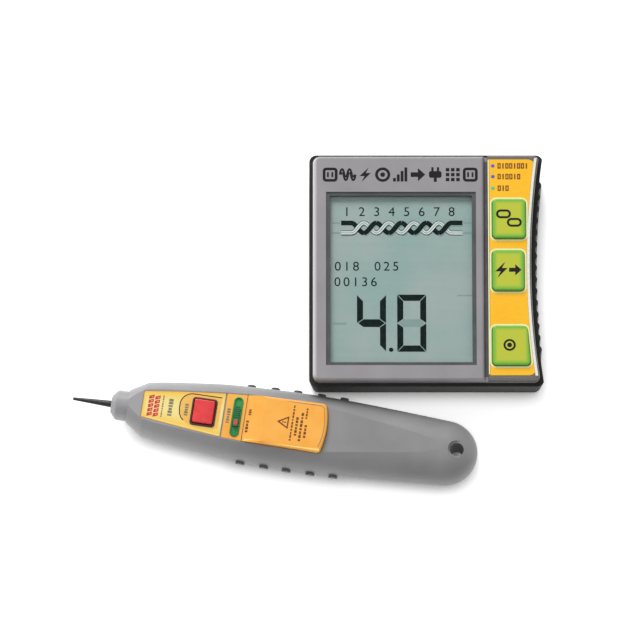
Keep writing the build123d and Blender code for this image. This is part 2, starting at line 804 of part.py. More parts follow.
with BuildPart() as keypad_frame:
    with BuildSketch(bench(groove_floor)):
        add(case_outline(face_inset))
        with Locations((groove[1] + far_beyond / 2, 0)):
            Rectangle(far_beyond, far_beyond, mode=Mode.INTERSECT)
    extrude(amount=frame_height - groove_floor)
    fillet(keypad_frame.faces().sort_by(Axis.Z)[-1].edges(), 0.9)
    with BuildSketch(bench(frame_height - label_depth)):
        add(case_outline(label_inset - 0.1))
        with Locations((label_left - 0.1 + far_beyond / 2, 0)):
            Rectangle(far_beyond, far_beyond, mode=Mode.INTERSECT)
    extrude(amount=2, mode=Mode.SUBTRACT)
    with BuildSketch(bench(20)):
        for name in keys:
            add(key_outline(name, key_gap))
        for led_y in led_rows.values():
            with Locations((led_x, led_y)):
                Circle(led_radius + 0.1)
    extrude(amount=12, mode=Mode.SUBTRACT)
keypad_frame.part.label = "keypad_frame"
export_step(keypad_frame.part, "parts/keypad_frame.step")

with BuildPart() as keypad_label:
    with BuildSketch(bench(frame_height - label_depth)):
        add(case_outline(label_inset))
        with Locations((label_left + far_beyond / 2, 0)):
            Rectangle(far_beyond, far_beyond, mode=Mode.INTERSECT)
        for name in keys:
            add(key_outline(name, key_gap), mode=Mode.SUBTRACT)
        for led_y in led_rows.values():
            with Locations((led_x, led_y)):
                Circle(led_radius + 0.1, mode=Mode.SUBTRACT)
    extrude(amount=label_depth + 0.1)
keypad_label.part.label = "keypad_label"
export_step(keypad_label.part, "parts/keypad_label.step")

# ---------------------------------------------------------------- tester: keys, lamps

for name in keys:
    with BuildPart() as key:
        with BuildSketch(bench(key_flange_top - 0.1)):
            add(key_outline(name))
        extrude(amount=key_top - key_flange_top + 0.1)
        fillet(key.faces().sort_by(Axis.Z)[-1].edges(), 0.9)
        with BuildSketch(bench(key_flange_bottom)):
            add(key_outline(name, key_flange))
        extrude(amount=key_flange_top - key_flange_bottom)
        with BuildSketch(bench(key_stem_bottom)):
            with Locations(key_middle(name)):
                Circle(key_stem_radius)
        extrude(amount=key_flange_bottom + 0.1 - key_stem_bottom)
    key.part.label = name
    export_step(key.part, f"parts/{name}.step")

with BuildPart() as key_domes:
    with BuildSketch(bench(board_top)):
        with Locations(*[key_middle(name) for name in keys]):
            Circle(5.0)
    extrude(amount=0.25)
    with BuildSketch(bench(board_top)):
        with Locations(*[key_middle(name) for name in keys]):
            Circle(3.0)
    extrude(amount=0.28)
key_domes.part.label = "key_domes"
export_step(key_domes.part, "parts/key_domes.step")

for name, led_y in led_rows.items():
    with BuildPart() as led:
        with BuildSketch(bench(board_top)):
            with Locations((led_x, led_y)):
                Circle(led_radius + 0.3)
        extrude(amount=4)
        with BuildSketch(bench(board_top)):
            with Locations((led_x, led_y)):
                Circle(led_radius)
        extrude(amount=frame_height + 0.4 - board_top)
        fillet(led.edges().group_by(Axis.Z)[-1], 0.35)
    led.part.label = name
    export_step(led.part, f"parts/{name}.step")

# ---------------------------------------------------------------- tester: display

with BuildPart() as lcd_bezel:
    with BuildSketch(bench(lens_top)):
        with Locations(window_middle):
            Rectangle(window_size[0] - 0.2, window_size[1] - 0.2)
            Rectangle(*glass_size, mode=Mode.SUBTRACT)
    extrude(amount=bezel_height)
lcd_bezel.part.label = "lcd_bezel"
export_step(lcd_bezel.part, "parts/lcd_bezel.step")

with BuildPart() as lcd_lens:
    with BuildSketch(bench(module_top)):
        with Locations(window_middle):
            Rectangle(window_size[0] - 1.0, window_size[1] - 1.0)
    extrude(amount=lens_top - module_top)
lcd_lens.part.label = "lcd_lens"
export_step(lcd_lens.part, "parts/lcd_lens.step")

with BuildPart() as lcd_module:
    with BuildSketch(bench(module_bottom)):
        with Locations(window_middle):
            Rectangle(window_size[0] - 2.0, window_size[1] - 2.0)
    extrude(amount=module_top - module_bottom)
lcd_module.part.label = "lcd_module"
export_step(lcd_module.part, "parts/lcd_module.step")

for number, strip_y in enumerate(contact_strip_rows, start=1):
    with BuildPart() as lcd_contact_strip:
        with BuildSketch(bench(board_top)):
            with Locations((window_middle[0], strip_y)):
                Rectangle(68, 2.2)
        extrude(amount=module_bottom - board_top)
    lcd_contact_strip.part.label = f"lcd_contact_strip_{number}"
    export_step(lcd_contact_strip.part, f"parts/lcd_contact_strip_{number}.step")

# ---------------------------------------------------------------- tester: inside

with BuildPart() as tester_circuit_board:
    with BuildSketch(bench(board_bottom)):
        add(case_outline(8.0))
        with Locations(*tester_screw_places):
            Circle(3.2, mode=Mode.SUBTRACT)
    extrude(amount=board_top - board_bottom)
tester_circuit_board.part.label = "tester_circuit_board"
export_step(tester_circuit_board.part, "parts/tester_circuit_board.step")

with BuildPart() as tester_chips:
    with BuildSketch(bench(board_top)):
        with Locations((-30, 15)):
            Rectangle(14, 14)
        with Locations((0, 10)):
            Rectangle(10, 12)
        with Locations((-25, -20)):
            Rectangle(18, 10)
    extrude(amount=1.2)
tester_chips.part.label = "tester_chips"
export_step(tester_chips.part, "parts/tester_chips.step")

with BuildPart() as buzzer:
    with BuildSketch(bench(board_bottom - 8.0)):
        with Locations((20, 30)):
            Circle(6.0)
            Circle(1.2, mode=Mode.SUBTRACT)
    extrude(amount=8.0)
buzzer.part.label = "buzzer"
export_step(buzzer.part, "parts/buzzer.step")

with BuildPart() as network_jack:
    with BuildSketch(bench(jack_bottom)):
        with Locations((jack_x, jack_face - jack_size[1] / 2)):
            Rectangle(jack_size[0], jack_size[1])
    extrude(amount=jack_size[2])
    # plug socket with the slot for the plug's latch below it
    with BuildSketch(Plane((case_x + jack_x, case_y + jack_face, 0), x_dir=(-1, 0, 0), z_dir=(0, 1, 0))):
        with Locations((0, jack_bottom + 7.6)):
            Rectangle(11.9, 6.8)
        with Locations((0, jack_bottom + 3.0)):
            Rectangle(6.2, 3.4)
    extrude(amount=-13, mode=Mode.SUBTRACT)
network_jack.part.label = "network_jack"
export_step(network_jack.part, "parts/network_jack.step")

with BuildPart() as jack_contacts:
    with BuildSketch(bench(jack_bottom + 9.4)):
        for index in range(8):
            with Locations((jack_x - 3.57 + 1.02 * index, jack_face - 6.5)):
                Rectangle(0.35, 9)
    extrude(amount=1.6)
jack_contacts.part.label = "jack_contacts"
export_step(jack_contacts.part, "parts/jack_contacts.step")

for number in range(1, 5):
    cell_x = cell_pitch * (number - 2.5)
    pole = 1 if number % 2 else -1
    with BuildPart() as aa_cell:
        with BuildSketch(Plane((case_x + cell_x, case_y + aa_middle_y, aa_height), z_dir=(0, 1, 0))):
            Circle(aa_radius)
        extrude(amount=(aa_length - 1) / 2, both=True)
        fillet(aa_cell.edges(), 0.6)
        with BuildSketch(Plane((case_x + cell_x, case_y + aa_middle_y, aa_height), z_dir=(0, pole, 0))):
            Circle(2.7)
        extrude(amount=aa_length / 2 + 0.5)
    aa_cell.part.label = f"aa_cell_{number}"
    export_step(aa_cell.part, f"parts/aa_cell_{number}.step")

with BuildPart() as battery_contacts:
    for end in (1, -1):
        with BuildSketch(bench(5.0)):
            for index in range(4):
                with Locations((cell_pitch * (index - 1.5), aa_middle_y + end * (aa_length / 2 + 1.4))):
                    Rectangle(9, 0.5)
        extrude(amount=9.0)
battery_contacts.part.label = "battery_contacts"
export_step(battery_contacts.part, "parts/battery_contacts.step")

with BuildPart() as tester_battery_door:
    with BuildSketch(bench(0)):
        with Locations((0, bay_middle)):
            RectangleRounded(2 * (bay_half_width - gap), bay_length, 0.8)
    extrude(amount=case_wall - 0.1)
    # finger ridges
    with BuildSketch(bench(0)):
        for step in range(5):
            with Locations((0, bay_ends[0] + 8 + 2.4 * step)):
                Rectangle(24, 1.0)
    extrude(amount=0.6, mode=Mode.SUBTRACT)
tester_battery_door.part.label = "tester_battery_door"
export_step(tester_battery_door.part, "parts/tester_battery_door.step")

with BuildPart() as tester_screws:
    with BuildSketch(bench(0.5)):
        with Locations(*tester_screw_places):
            Circle(2.4)
    extrude(amount=2.0)
    with BuildSketch(bench(2.5)):
        with Locations(*tester_screw_places):
            Circle(1.2)
    extrude(amount=20)
    with BuildSketch(bench(0.5)):
        with Locations(*tester_screw_places):
            Rectangle(3.0, 0.7)
            Rectangle(0.7, 3.0)
    extrude(amount=1.0, mode=Mode.SUBTRACT)
tester_screws.part.label = "tester_screws"
export_step(tester_screws.part, "parts/tester_screws.step")
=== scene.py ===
import json
from math import atan2, cos, pi, radians, sin, sqrt

import bmesh
import bpy
from mathutils import Matrix, Vector
from mathutils.geometry import tessellate_polygon


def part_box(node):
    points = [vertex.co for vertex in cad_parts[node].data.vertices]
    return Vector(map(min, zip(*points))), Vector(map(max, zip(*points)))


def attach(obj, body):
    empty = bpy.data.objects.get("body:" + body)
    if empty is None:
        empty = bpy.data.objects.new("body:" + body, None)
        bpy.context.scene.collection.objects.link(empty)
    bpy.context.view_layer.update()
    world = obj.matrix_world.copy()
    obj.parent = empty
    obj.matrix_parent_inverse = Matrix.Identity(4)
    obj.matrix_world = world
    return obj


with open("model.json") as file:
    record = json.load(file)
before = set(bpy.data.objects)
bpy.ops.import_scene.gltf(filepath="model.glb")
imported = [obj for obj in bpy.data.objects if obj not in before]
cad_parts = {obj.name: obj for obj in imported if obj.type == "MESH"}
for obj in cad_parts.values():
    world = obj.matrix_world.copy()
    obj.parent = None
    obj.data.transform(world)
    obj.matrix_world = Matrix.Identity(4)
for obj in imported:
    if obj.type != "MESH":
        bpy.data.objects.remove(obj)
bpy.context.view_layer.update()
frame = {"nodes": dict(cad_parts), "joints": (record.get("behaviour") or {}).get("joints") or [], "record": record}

mm = 0.001
nodes = frame["nodes"]
mounts = {m["name"]: Vector(m["pos_m"]) for m in frame["record"]["mounts"]}
joints = {j["name"]: j for j in frame["joints"]}

# The wand's own directions: its slider runs across it, its lanyard hole lies on its axis
wandLayout = {"holeFromPoint": 208.6, "facet": 23.5, "doorTop": 26.5, "rampStart": 95.0,
              "rampEnd": 104.0, "rampFoot": 23.8}
wandAcross = Vector(joints["sensitivity_slide"]["axis"]).normalized()
wandAlong = wandAcross.cross(Vector((0, 0, 1)))
wandPoint = mounts["lanyard_hole"] - wandAlong * wandLayout["holeFromPoint"] * mm
wandPoint.z = 0
# The tester's own origin is the middle of its case
testerLayout = {"backMountAhead": 30.0, "face": 29.0, "frame": 30.1, "keyTop": 32.0, "glass": 25.2}
testerMiddle = mounts["tester_back"] - Vector((0, testerLayout["backMountAhead"] * mm, 0))


def onWand(along, across, height):
    return wandPoint + (wandAlong * along + wandAcross * across + Vector((0, 0, height))) * mm


def onTester(x, y, height):
    return testerMiddle + Vector((x, y, height)) * mm


def onDoor(along, across, height):
    # height is counted from the battery door's own top, which starts as a ramp
    start, end = wandLayout["rampStart"], wandLayout["rampEnd"]
    foot, top = wandLayout["rampFoot"], wandLayout["doorTop"]
    share = min(1, max(0, (along - start) / (end - start)))
    return onWand(along, across, foot + (top - foot) * share + height)


def hexToLinear(code):
    channels = [int(code[i:i + 2], 16) / 255 for i in (1, 3, 5)]
    return (*[c / 12.92 if c <= 0.04045 else ((c + 0.055) / 1.055) ** 2.4 for c in channels], 1.0)


def addNode(tree, kind, settings=None, links=None):
    node = tree.nodes.new(kind)
    for key, value in (settings or {}).items():
        setattr(node, key, value)
    for key, value in (links or {}).items():
        if isinstance(value, bpy.types.NodeSocket):
            tree.links.new(value, node.inputs[key])
        else:
            node.inputs[key].default_value = value
    return node


def startMaterial(name, roughness, **sockets):
    material = bpy.data.materials.new(name)
    material.use_nodes = True
    tree = material.node_tree
    shader = tree.nodes["Principled BSDF"]
    shader.inputs["Roughness"].default_value = roughness
    for key, value in sockets.items():
        shader.inputs[key.replace("_", " ")].default_value = value
    return material, tree, shader


def addGrain(tree, shader, grainMm, bumpMm, detail=3.0, rough=None):
    # noise cells about grainMm across, raised by bumpMm, which may also vary the roughness
    place = addNode(tree, "ShaderNodeTexCoord")
    grain = addNode(tree, "ShaderNodeTexNoise", None,
                    {"Vector": place.outputs["Object"], "Scale": 1 / (grainMm * mm), "Detail": detail})
    bump = addNode(tree, "ShaderNodeBump", None,
                   {"Height": grain.outputs["Fac"], "Distance": bumpMm * mm, "Strength": 1.0})
    tree.links.new(bump.outputs["Normal"], shader.inputs["Normal"])
    if rough:
        spread = addNode(tree, "ShaderNodeMapRange", None,
                         {"Value": grain.outputs["Fac"], "From Min": 0.3, "From Max": 0.7,
                          "To Min": rough[0], "To Max": rough[1]})
        tree.links.new(spread.outputs["Result"], shader.inputs["Roughness"])
    return place


def addMottle(tree, shader, place, colours, patchMm, spread=(0.35, 0.65)):
    # slow change between two near colours, as resin and ink have over a moulding
    patches = addNode(tree, "ShaderNodeTexNoise", None,
                      {"Vector": place.outputs["Object"], "Scale": 1 / (patchMm * mm), "Detail": 4.0})
    ramp = addNode(tree, "ShaderNodeValToRGB", None, {"Fac": patches.outputs["Fac"]})
    for element, position, colour in zip(ramp.color_ramp.elements, spread, colours):
        element.position, element.color = position, hexToLinear(colour)
    tree.links.new(ramp.outputs["Color"], shader.inputs["Base Color"])


def sparkErodedAbs(name, colours, roughness=0.42, grainMm=0.7, bumpMm=0.018, gloss=0.5):
    # ABS out of a spark-eroded mould: an even fine grain that breaks up the highlight into satin
    # (the real grain is 0.1 to 0.3 mm; it is drawn coarser so that it shows)
    material, tree, shader = startMaterial(name, roughness, IOR=1.54, Specular_IOR_Level=gloss)
    place = addGrain(tree, shader, grainMm, bumpMm, detail=2.0, rough=(roughness - 0.06, roughness + 0.08))
    addMottle(tree, shader, place, colours, patchMm=22)
    return material


def tintedAlong(material, colour, start, direction, spanMm, strength):
    # blends a tint into a moulding along one direction, strongest at the start of the span and gone at its end;
    # the front shell's pale band is a painted highlight
    tree = material.node_tree
    shader = tree.nodes["Principled BSDF"]
    mottle = shader.inputs["Base Color"].links[0].from_socket
    place = addNode(tree, "ShaderNodeTexCoord")
    fromStart = addNode(tree, "ShaderNodeVectorMath", {"operation": "SUBTRACT"},
                        {0: place.outputs["Object"], 1: start})
    along = addNode(tree, "ShaderNodeVectorMath", {"operation": "DOT_PRODUCT"},
                    {0: fromStart.outputs["Vector"], 1: direction})
    share = addNode(tree, "ShaderNodeMapRange", {"interpolation_type": "SMOOTHSTEP"},
                    {"Value": along.outputs["Value"], "From Min": spanMm[0] * mm,
                     "From Max": spanMm[1] * mm, "To Min": strength, "To Max": 0.0})
    tint = addNode(tree, "ShaderNodeMix", {"data_type": "RGBA"},
                   {0: share.outputs["Result"], 6: mottle, 7: hexToLinear(colour)})
    tree.links.new(tint.outputs[2], shader.inputs["Base Color"])
    return material


def glossMouldedAbs(name, colours, roughness=0.28):
    # ABS out of a polished mould: a clean highlight with a trace of flow in it
    material, tree, shader = startMaterial(name, roughness, IOR=1.54)
    shader.inputs["Coat Weight"].default_value = 0.25
    shader.inputs["Coat Roughness"].default_value = 0.12
    place = addGrain(tree, shader, 3.5, 0.02, detail=1.0, rough=(roughness - 0.05, roughness + 0.07))
    addMottle(tree, shader, place, colours, patchMm=14)
    return material


def overmouldedRubber(name, colours, roughness=0.68):
    # thermoplastic elastomer, moulded over the shell: dull, with dusty high spots
    material, tree, shader = startMaterial(name, roughness, IOR=1.5)
    shader.inputs["Sheen Weight"].default_value = 0.15
    shader.inputs["Sheen Roughness"].default_value = 0.5
    place = addGrain(tree, shader, 0.9, 0.03, detail=3.0, rough=(roughness - 0.08, roughness + 0.1))
    addMottle(tree, shader, place, colours, patchMm=6)
    return material


def satinLacquer(name, colours, metallic=0.35):
    # metallic lacquer sprayed on plastic: fine flakes under a soft gloss, a broad bright edge
    material, tree, shader = startMaterial(name, 0.3, Metallic=metallic)
    place = addGrain(tree, shader, 0.5, 0.004, detail=2.0, rough=(0.26, 0.36))
    addMottle(tree, shader, place, colours, patchMm=1.2)
    return material


def printedFilm(name, colours, roughness=0.3):
    # printed polyester film: smooth, with faint orange peel
    material, tree, shader = startMaterial(name, roughness, IOR=1.6)
    shader.inputs["Specular IOR Level"].default_value = 0.35
    place = addGrain(tree, shader, 1.6, 0.006, detail=1.0, rough=(roughness - 0.05, roughness + 0.06))
    addMottle(tree, shader, place, colours, patchMm=16)
    return material


labelTint = {"start": 38.6, "paleFrom": 42.5, "end": 82.0, "halves": (7.4, 12.3), "paleUpTo": 0.35,
             "midAt": 0.86}


def shadedFilm(name, colours):
    # the same film with a printed tint that deepens towards the label's slanting edges
    material = printedFilm(name, colours[:2])
    tree = material.node_tree
    place = addNode(tree, "ShaderNodeTexCoord")
    fromPoint = addNode(tree, "ShaderNodeVectorMath", {"operation": "SUBTRACT"},
                        {0: place.outputs["Object"], 1: wandPoint})
    along = addNode(tree, "ShaderNodeVectorMath", {"operation": "DOT_PRODUCT"},
                    {0: fromPoint.outputs["Vector"], 1: wandAlong})
    across = addNode(tree, "ShaderNodeVectorMath", {"operation": "DOT_PRODUCT"},
                     {0: fromPoint.outputs["Vector"], 1: wandAcross})
    start, (narrow, wide) = labelTint["start"] * mm, labelTint["halves"]
    halfWidth = addNode(tree, "ShaderNodeMapRange", None,
                        {"Value": along.outputs["Value"], "From Min": start,
                         "From Max": labelTint["end"] * mm, "To Min": narrow * mm, "To Max": wide * mm})
    away = addNode(tree, "ShaderNodeMath", {"operation": "ABSOLUTE"}, {0: across.outputs["Value"]})
    reach = addNode(tree, "ShaderNodeMath", {"operation": "DIVIDE"},
                    {0: away.outputs[0], 1: halfWidth.outputs[0]})
    front = addNode(tree, "ShaderNodeMapRange", None,
                    {"Value": along.outputs["Value"], "From Min": labelTint["paleFrom"] * mm,
                     "From Max": start})
    edge = addNode(tree, "ShaderNodeMath", {"operation": "MAXIMUM"},
                   {0: reach.outputs[0], 1: front.outputs[0]})
    ramp = addNode(tree, "ShaderNodeValToRGB", None, {"Fac": edge.outputs[0]})
    ramp.color_ramp.elements[0].position = labelTint["paleUpTo"]
    for element, colour in zip(ramp.color_ramp.elements, (colours[0], colours[2])):
        element.color = hexToLinear(colour)
    ramp.color_ramp.elements.new(labelTint["midAt"]).color = hexToLinear(colours[1])
    tree.links.new(ramp.outputs["Color"], tree.nodes["Principled BSDF"].inputs["Base Color"])
    return material


siliconeKey = {"colours": ("#bcc52c", "#6fb834"), "flange": 0.9, "rim": 2.3, "corner": 0.8,
               "fadeInside": 0.9, "fadeShort": 0.6}


def mouldedSilicone(name, key):
    # keypad silicone: satin, translucent at its thin rim, where its colour turns greener
    low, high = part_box(key)
    middle, half = (low + high) / 2, (high - low) / 2
    rim = siliconeKey["rim"] * mm
    material, tree, shader = startMaterial(name, 0.38, IOR=1.45)
    shader.inputs["Coat Weight"].default_value = 0.2
    shader.inputs["Coat Roughness"].default_value = 0.25
    place = addGrain(tree, shader, 1.1, 0.012, detail=2.0, rough=(0.33, 0.46))
    axes = addNode(tree, "ShaderNodeSeparateXYZ", None, {"Vector": place.outputs["Object"]})
    reach = []
    for axis in (0, 1):
        away = addNode(tree, "ShaderNodeMath", {"operation": "SUBTRACT"},
                       {0: axes.outputs[axis], 1: middle[axis]})
        size = addNode(tree, "ShaderNodeMath", {"operation": "ABSOLUTE"}, {0: away.outputs[0]})
        inner = addNode(tree, "ShaderNodeMath", {"operation": "SUBTRACT"},
                        {0: size.outputs[0], 1: half[axis] - siliconeKey["flange"] * mm - rim})
        reach.append(inner.outputs[0])
    edge = addNode(tree, "ShaderNodeMath", {"operation": "SMOOTH_MAX"},
                   {0: reach[0], 1: reach[1], 2: siliconeKey["corner"] * mm})
    fade = addNode(tree, "ShaderNodeMapRange", {"interpolation_type": "SMOOTHSTEP"},
                   {"Value": edge.outputs[0], "From Min": -siliconeKey["fadeInside"] * mm,
                    "From Max": (siliconeKey["rim"] - siliconeKey["fadeShort"]) * mm})
    ramp = addNode(tree, "ShaderNodeValToRGB", None, {"Fac": fade.outputs["Result"]})
    for element, colour in zip(ramp.color_ramp.elements, siliconeKey["colours"]):
        element.color = hexToLinear(colour)
    tree.links.new(ramp.outputs["Color"], shader.inputs["Base Color"])
    return material


def lcdReflector(name):
    # reflective liquid crystal cell: grey-green, matt behind its polariser, a little uneven
    material, tree, shader = startMaterial(name, 0.5, IOR=1.5)
    place = addGrain(tree, shader, 0.5, 0.002, detail=1.0, rough=(0.45, 0.55))
    addMottle(tree, shader, place, ("#93b0ab", "#a2b4b0"), patchMm=34, spread=(0.38, 0.62))
    return material


def clearAcrylic(name):
    # cast acrylic window, nearly invisible but for its gloss
    material, tree, shader = startMaterial(name, 0.06, IOR=1.3, Alpha=0.04)
    addGrain(tree, shader, 12, 0.004, detail=1.0, rough=(0.04, 0.09))
    shader.inputs["Base Color"].default_value = hexToLinear("#20302c")
    return material


def screenInk(name, colours, roughness=0.45, gloss=0.5):
    # ink laid by a silk screen: opaque, very slightly uneven, without gloss behind glass
    material, tree, shader = startMaterial(name, roughness, Specular_IOR_Level=gloss)
    place = addGrain(tree, shader, 0.4, 0.004, detail=2.0, rough=(roughness - 0.06, roughness + 0.08))
    addMottle(tree, shader, place, colours, patchMm=2.5)
    return material


def platedMetal(name, colours, roughness=0.25, grainMm=0.6, bumpMm=0.006, metallic=1.0):
    # electroplated strip or wire: tight highlights, faint handling marks
    material, tree, shader = startMaterial(name, roughness, Metallic=metallic)
    place = addGrain(tree, shader, grainMm, bumpMm, detail=4.0, rough=(roughness - 0.08, roughness + 0.15))
    addMottle(tree, shader, place, colours, patchMm=3)
    return material


def castResin(name, colour, glow):
    # tinted epoxy of an indicator lamp: glossy, faintly lit from within
    material, tree, shader = startMaterial(name, 0.12, IOR=1.55)
    shader.inputs["Emission Color"].default_value = hexToLinear(colour)
    shader.inputs["Emission Strength"].default_value = glow
    place = addGrain(tree, shader, 0.6, 0.003, detail=1.0, rough=(0.08, 0.18))
    addMottle(tree, shader, place, (colour, colour), patchMm=1)
    return material


def printedBoard(name):
    # glass-epoxy board: green solder mask over a faint grid of tracks
    material, tree, shader = startMaterial(name, 0.35, IOR=1.5)
    place = addNode(tree, "ShaderNodeTexCoord")
    tracks = addNode(tree, "ShaderNodeTexBrick", {"offset": 0.37},
                     {"Vector": place.outputs["Object"], "Scale": 1 / (6 * mm), "Mortar Size": 0.05,
                      "Color1": hexToLinear("#1d5c34"), "Color2": hexToLinear("#236b3c"),
                      "Mortar": hexToLinear("#2f8a50")})
    bump = addNode(tree, "ShaderNodeBump", None, {"Height": tracks.outputs["Fac"], "Distance": 0.03 * mm})
    tree.links.new(tracks.outputs["Color"], shader.inputs["Base Color"])
    tree.links.new(bump.outputs["Normal"], shader.inputs["Normal"])
    return material


greyAbs = sparkErodedAbs("spark eroded grey ABS", ("#858485", "#8e8d8e"))
caseGreyAbs = sparkErodedAbs("spark eroded warm grey ABS", ("#8f8c90", "#979497"), 0.36, 0.6, 0.012)
materials = {
    # the wand's grey is paler towards its nose, fading out by 125 mm along it
    "greyAbs": tintedAlong(greyAbs, "#a3a3a5", wandPoint, wandAlong, (25, 125), 0.8),
    # painted highlight: a pale band along the front shell's rounded left edge, where it catches the light
    "caseGreyAbs": tintedAlong(caseGreyAbs, "#d8d5d8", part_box("front_shell")[0], Vector((1, 0, 0)),
                               (0.6, 2.6), 0.8),
    "blackAbs": sparkErodedAbs("spark eroded black ABS", ("#2d2d2b", "#363634"), 0.58, gloss=0.06),
    "darkAbs": glossMouldedAbs("polished charcoal ABS", ("#3c4042", "#4a4d4e"), 0.34),
    "frameLacquer": satinLacquer("dark lacquered ABS", ("#6b6763", "#777470")),
    # painted highlight: a near-white lacquered strip along the keypad frame's hollowed right edge
    "paintedHighlightStrip": satinLacquer("painted highlight lacquer", ("#e3e7e2", "#f4f6f1"), 0.2),
    # painted shade: a dark grey strip that darkens the groove floor, where shade falls
    "paintedGrooveShade": overmouldedRubber("painted groove shade", ("#504d50", "#5d5a5d"), 0.55),
    "greyRubber": overmouldedRubber("overmoulded charcoal rubber", ("#39393b", "#47474a")),
    "ribRubber": overmouldedRubber("overmoulded grey rubber", ("#505052", "#5e5e60")),
    "blackRubber": overmouldedRubber("overmoulded black rubber", ("#1c1d1d", "#2a2b2b")),
    "paleFilm": shadedFilm("printed yellow film", ("#f7e391", "#f7cf58", "#f5b755")),
    "amberFilm": printedFilm("printed amber film", ("#ffbc0c", "#ffc11a")),
    "amberAbs": glossMouldedAbs("polished amber ABS", ("#fbab34", "#ffb544"), 0.34),
    "redAbs": glossMouldedAbs("polished red ABS", ("#e0262c", "#f03a3e"), 0.3),
    "maroonAbs": glossMouldedAbs("polished maroon ABS", ("#33191c", "#402024"), 0.34),
    "greenAbs": glossMouldedAbs("polished green ABS", ("#00863c", "#009a48"), 0.3),
    "darkGreenAbs": glossMouldedAbs("polished dark green ABS", ("#046b33", "#0a7a3c"), 0.36),
    "lcd": lcdReflector("reflective liquid crystal cell"),
    "window": clearAcrylic("cast acrylic window"),
    "lcdInk": screenInk("liquid crystal black", ("#101d1c", "#182625"), 0.6, 0.05),
    "ghostInk": screenInk("liquid crystal ghost", ("#88a09c", "#8ca4a0"), 0.6, 0.05),
    "lcdLight": screenInk("liquid crystal clear", ("#d3dedb", "#dfe7e4"), 0.6, 0.05),
    "blackInk": screenInk("black screen ink", ("#040404", "#0a0a0a"), 0.5, 0.25),
    "brownInk": screenInk("brown screen ink", ("#6e3a18", "#7e4a22"), 0.5, 0.25),
    "redInk": screenInk("red screen ink", ("#c4222c", "#d4303a")),
    "greyInk": screenInk("grey screen ink", ("#77745e", "#858166")),
    # painted highlight on the near rounded edges of the label and the battery door
    "paintedEdgeHighlight": screenInk("painted amber edge highlight", ("#fcd56e", "#fddc7e"), 0.3),
    "creamInk": screenInk("cream screen ink", ("#eef0b4", "#f4f3c6")),
    "orangeInk": screenInk("orange screen ink", ("#f0b851", "#f3c05c")),
    "antenna": platedMetal("black plated brass", ("#2c2b2d", "#3a393b"), 0.34, 0.8, 0.01, 0.4),
    "nickel": platedMetal("nickel plated strip", ("#b8b4ac", "#ccc8c0")),
    "zinc": platedMetal("zinc plated screw", ("#9fa2a4", "#b9bcbe"), 0.35),
    "gold": platedMetal("gold plated contact", ("#d3a83f", "#e3bb58"), 0.2),
    "board": printedBoard("green solder mask"),
    "epoxy": sparkErodedAbs("moulded black epoxy", ("#1b1b1c", "#252526"), 0.5, 0.3, 0.01),
    "ferrite": sparkErodedAbs("sintered ferrite", ("#2a2a2c", "#39393b"), 0.62, 0.4, 0.03),
    "sleeve": glossMouldedAbs("shrunk cell sleeve", ("#1f2a33", "#2a3944"), 0.25),
    "speakerPaper": overmouldedRubber("pressed speaker paper", ("#1d1c1a", "#2a2825"), 0.8),
    "violetLamp": castResin("violet epoxy lamp", "#5a48c8", 0.5),
    "blueLamp": castResin("blue epoxy lamp", "#3c5cb4", 0.4),
    "greenLamp": castResin("green epoxy lamp", "#3aa878", 0.6),
}
for keyName in ("upper_key", "middle_key", "lower_key"):
    materials[keyName] = mouldedSilicone("lime silicone " + keyName, keyName)

finishes = {
    "greyAbs": ["probe_top_shell", "probe_base_shell", "nose_collar"],
    "caseGreyAbs": ["front_shell"],
    "blackAbs": ["rear_case", "tester_battery_door", "battery_cradle"],
    "darkAbs": ["lcd_bezel", "network_jack"],
    "maroonAbs": ["button_bezel"],
    "frameLacquer": ["keypad_frame"],
    "greyRubber": ["lcd_contact_strip_1", "lcd_contact_strip_2"],
    "ribRubber": ["far_grip_ribs", "near_grip_ribs"],
    "blackRubber": ["side_grip", "tip_seal"],
    "paleFilm": ["control_label"],
    "amberFilm": ["keypad_label"],
    "amberAbs": ["switch_plate", "probe_battery_door"],
    "redAbs": ["power_button", "slider_index"],
    "greenAbs": ["slot_bezel"],
    "darkGreenAbs": ["slider_knob"],
    "lcd": ["lcd_module"],
    "window": ["lcd_lens"],
    "antenna": ["antenna_tip"],
    "nickel": ["cell_contacts", "key_domes", "battery_contacts"],
    "zinc": ["probe_screws", "tester_screws"],
    "gold": ["jack_contacts"],
    "board": ["probe_circuit_board", "tester_circuit_board"],
    "epoxy": ["tact_switch", "slide_switch", "probe_chips", "tester_chips", "buzzer"],
    "ferrite": ["ferrite_core"],
    "sleeve": ["aaa_cell_1", "aaa_cell_2", "aa_cell_1", "aa_cell_2", "aa_cell_3", "aa_cell_4"],
    "speakerPaper": ["loudspeaker"],
    "violetLamp": ["network_led"],
    "blueLamp": ["phone_led"],
    "greenLamp": ["power_led"],
    "upper_key": ["upper_key"],
    "middle_key": ["middle_key"],
    "lower_key": ["lower_key"],
}
for finish, members in finishes.items():
    for member in members:
        piece = nodes[member]
        if not piece.material_slots:
            piece.data.materials.append(None)
        for materialSlot in piece.material_slots:
            materialSlot.material = materials[finish]
print("finishes set on", sum(len(members) for members in finishes.values()), "CAD nodes")


def ribbon(points, width, closed=False):
    # outline of a stroke of even width along a line of points
    count = len(points)
    left, right = [], []
    for i, (x, y) in enumerate(points):
        before = points[i - 1] if i or closed else points[i]
        after = points[(i + 1) % count] if i < count - 1 or closed else points[i]
        angle = atan2(after[1] - before[1], after[0] - before[0]) + pi / 2
        left.append((x + cos(angle) * width / 2, y + sin(angle) * width / 2))
        right.append((x - cos(angle) * width / 2, y - sin(angle) * width / 2))
    if closed:
        return [left, right]
    return [left + right[::-1]]


